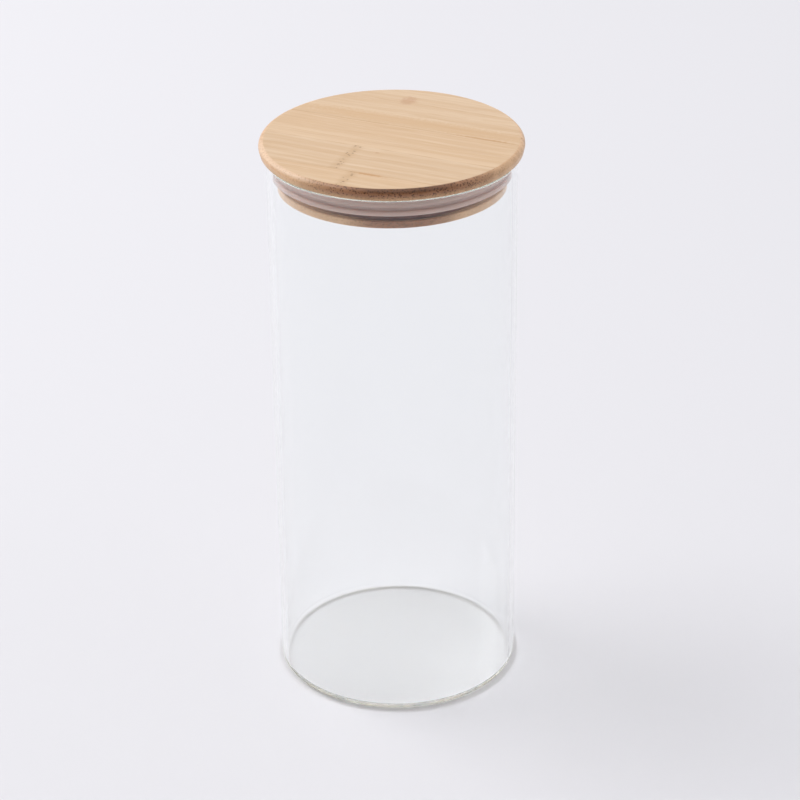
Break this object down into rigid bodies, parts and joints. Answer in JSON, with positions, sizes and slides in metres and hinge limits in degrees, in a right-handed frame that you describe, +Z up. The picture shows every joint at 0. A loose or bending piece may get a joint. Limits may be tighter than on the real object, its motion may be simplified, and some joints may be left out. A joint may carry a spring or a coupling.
{
  "type": "lidded glass canister",
  "caption": "Tall straight glass storage jar with a flat base and a turned bamboo plug lid that seals with a ribbed silicone ring.",
  "frame": {"origin": "centre of the jar's base, on the surface it stands on", "axes": "+Z up along the jar's axis; X along the grain of the lid's top layer at rest"},
  "size_m": [0.0896, 0.0896, 0.2018],
  "materials": {
    "glass": "clear, colourless, drawn borosilicate tube with a fire-polished rim",
    "silicone": "translucent white silicone, satin",
    "bamboo": "natural flat-pressed bamboo, fine sanded and clear oiled"
  },
  "bodies": {
    "jar": {"glass_jar": "glass"},
    "seal": {"seal_ring": "silicone"},
    "lid": {"lid_face_strip_1": "bamboo", "lid_face_strip_2": "bamboo", "lid_face_strip_3": "bamboo", "lid_face_strip_4": "bamboo", "lid_face_strip_5": "bamboo", "lid_core_strip_1": "bamboo", "lid_core_strip_2": "bamboo", "lid_core_strip_3": "bamboo", "lid_core_strip_4": "bamboo", "lid_plug_strip_1": "bamboo", "lid_plug_strip_2": "bamboo", "lid_plug_strip_3": "bamboo", "lid_plug_strip_4": "bamboo"}
  },
  "joints": [
    {"name": "lid_lift", "type": "slide", "parent": "jar", "child": "seal", "axis": [0, 0, 1], "range_m": [0, 0.12]},
    {"name": "lid_twist", "type": "hinge", "parent": "seal", "child": "lid", "pos_m": [0, 0, 0.1942], "axis": [0, 0, 1], "continuous": true}
  ]
}
